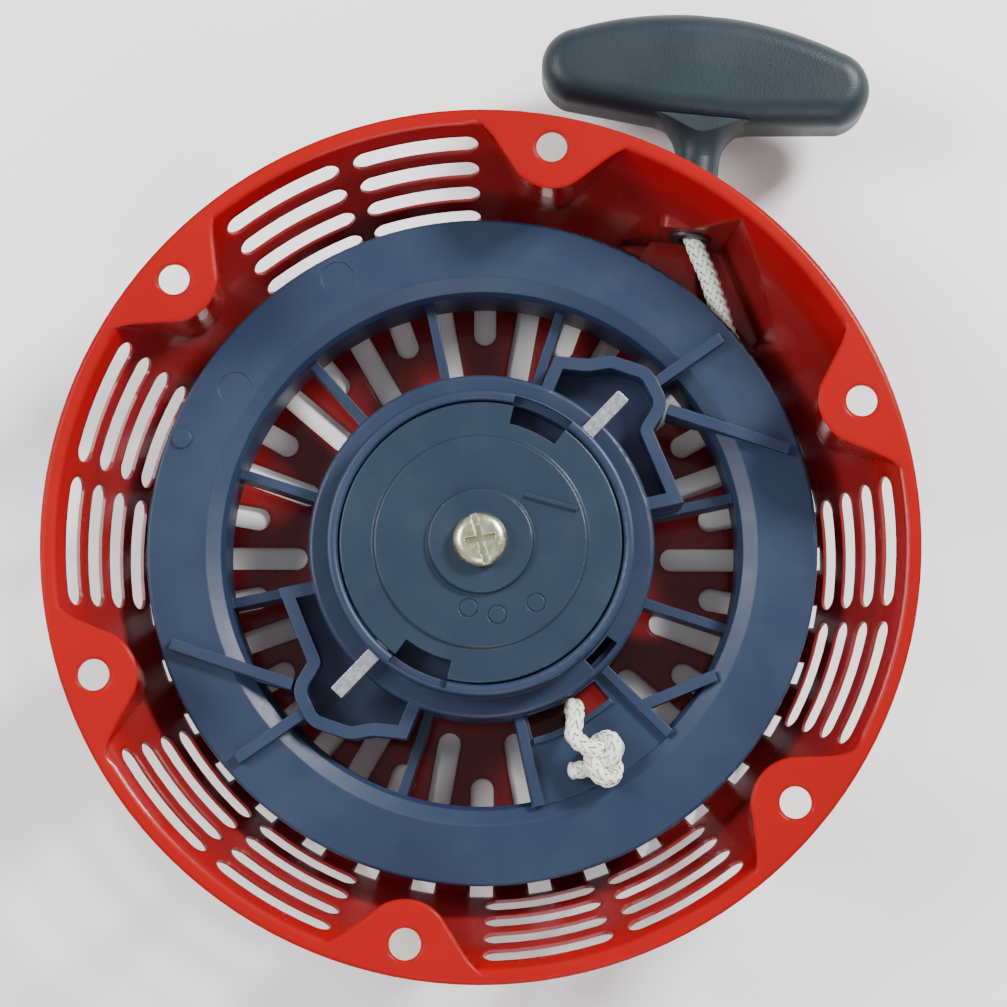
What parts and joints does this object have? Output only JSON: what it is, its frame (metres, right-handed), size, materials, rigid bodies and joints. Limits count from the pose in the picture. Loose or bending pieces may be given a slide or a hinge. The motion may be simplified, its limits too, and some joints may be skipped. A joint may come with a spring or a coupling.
{
  "type": "recoil starter",
  "caption": "Round pull starter in a slotted pressed case: rope reel, guide disc with two swing-out ratchets, centre screw, and a T grip on the rope.",
  "frame": {"origin": "centre of the flange's bolt circle, on the face that meets the engine", "axes": "+Z out of the open side towards the engine; the rope leaves in the +X +Y quarter, mostly along +Y"},
  "size_m": [0.23, 0.2639, 0.053],
  "materials": {
    "enamel": "glossy",
    "reel_plastic": "satin",
    "guide_plastic": "satin",
    "grip_plastic": "satin",
    "steel": "satin",
    "spring_steel": "satin",
    "zinc": "glossy",
    "rope": "matte"
  },
  "bodies": {
    "housing": {"case": "enamel", "center_post": "steel", "center_screw": "zinc", "rope_guide": "steel", "rope_run": "rope", "recoil_spring": "spring_steel"},
    "reel": {"reel": "reel_plastic", "rope_coil": "rope", "rope_lead": "rope", "reel_knot": "rope", "ratchet_spring_1": "spring_steel", "ratchet_spring_2": "spring_steel"},
    "guide": {"ratchet_guide": "guide_plastic", "friction_spring": "spring_steel"},
    "ratchet_1": {"ratchet_1": "zinc"},
    "ratchet_2": {"ratchet_2": "zinc"},
    "handle": {"grip": "grip_plastic", "grip_knot": "rope", "rope_tail": "rope"}
  },
  "joints": [
    {"name": "reel_spin", "type": "hinge", "parent": "housing", "child": "reel", "pos_m": [0, 0, 0], "axis": [0, 0, 1], "range_deg": [0, 720], "stiffness_Nm_per_rad": 0.02, "springref_deg": -687.55, "deforming": ["recoil_spring", "rope_coil", "rope_run"]},
    {"name": "guide_lag", "type": "hinge", "parent": "reel", "child": "guide", "pos_m": [0, 0, -0.011], "axis": [0, 0, -1], "range_deg": [0, 24], "stiffness_Nm_per_rad": 0.02, "springref_deg": -17.19},
    {"name": "ratchet_1_swing", "type": "hinge", "parent": "reel", "child": "ratchet_1", "pos_m": [0.02959, 0.00738, -0.015], "axis": [0, 0, -1], "range_deg": [0, 15], "deforming": ["ratchet_spring_1"]},
    {"name": "ratchet_2_swing", "type": "hinge", "parent": "reel", "child": "ratchet_2", "pos_m": [-0.02959, -0.00738, -0.015], "axis": [0, 0, -1], "range_deg": [0, 15], "deforming": ["ratchet_spring_2"]},
    {"name": "grip_pull", "type": "slide", "parent": "housing", "child": "handle", "axis": [0.0993, 0.9951, 0], "range_m": [0, 1.01], "deforming": ["rope_tail"]}
  ],
  "couplings": [
    {"joint": "ratchet_1_swing", "follows": "guide_lag", "ratio": 0.625},
    {"joint": "ratchet_2_swing", "follows": "guide_lag", "ratio": 0.625},
    {"joint": "grip_pull", "follows": "reel_spin", "m_per_rad": 0.0803}
  ]
}
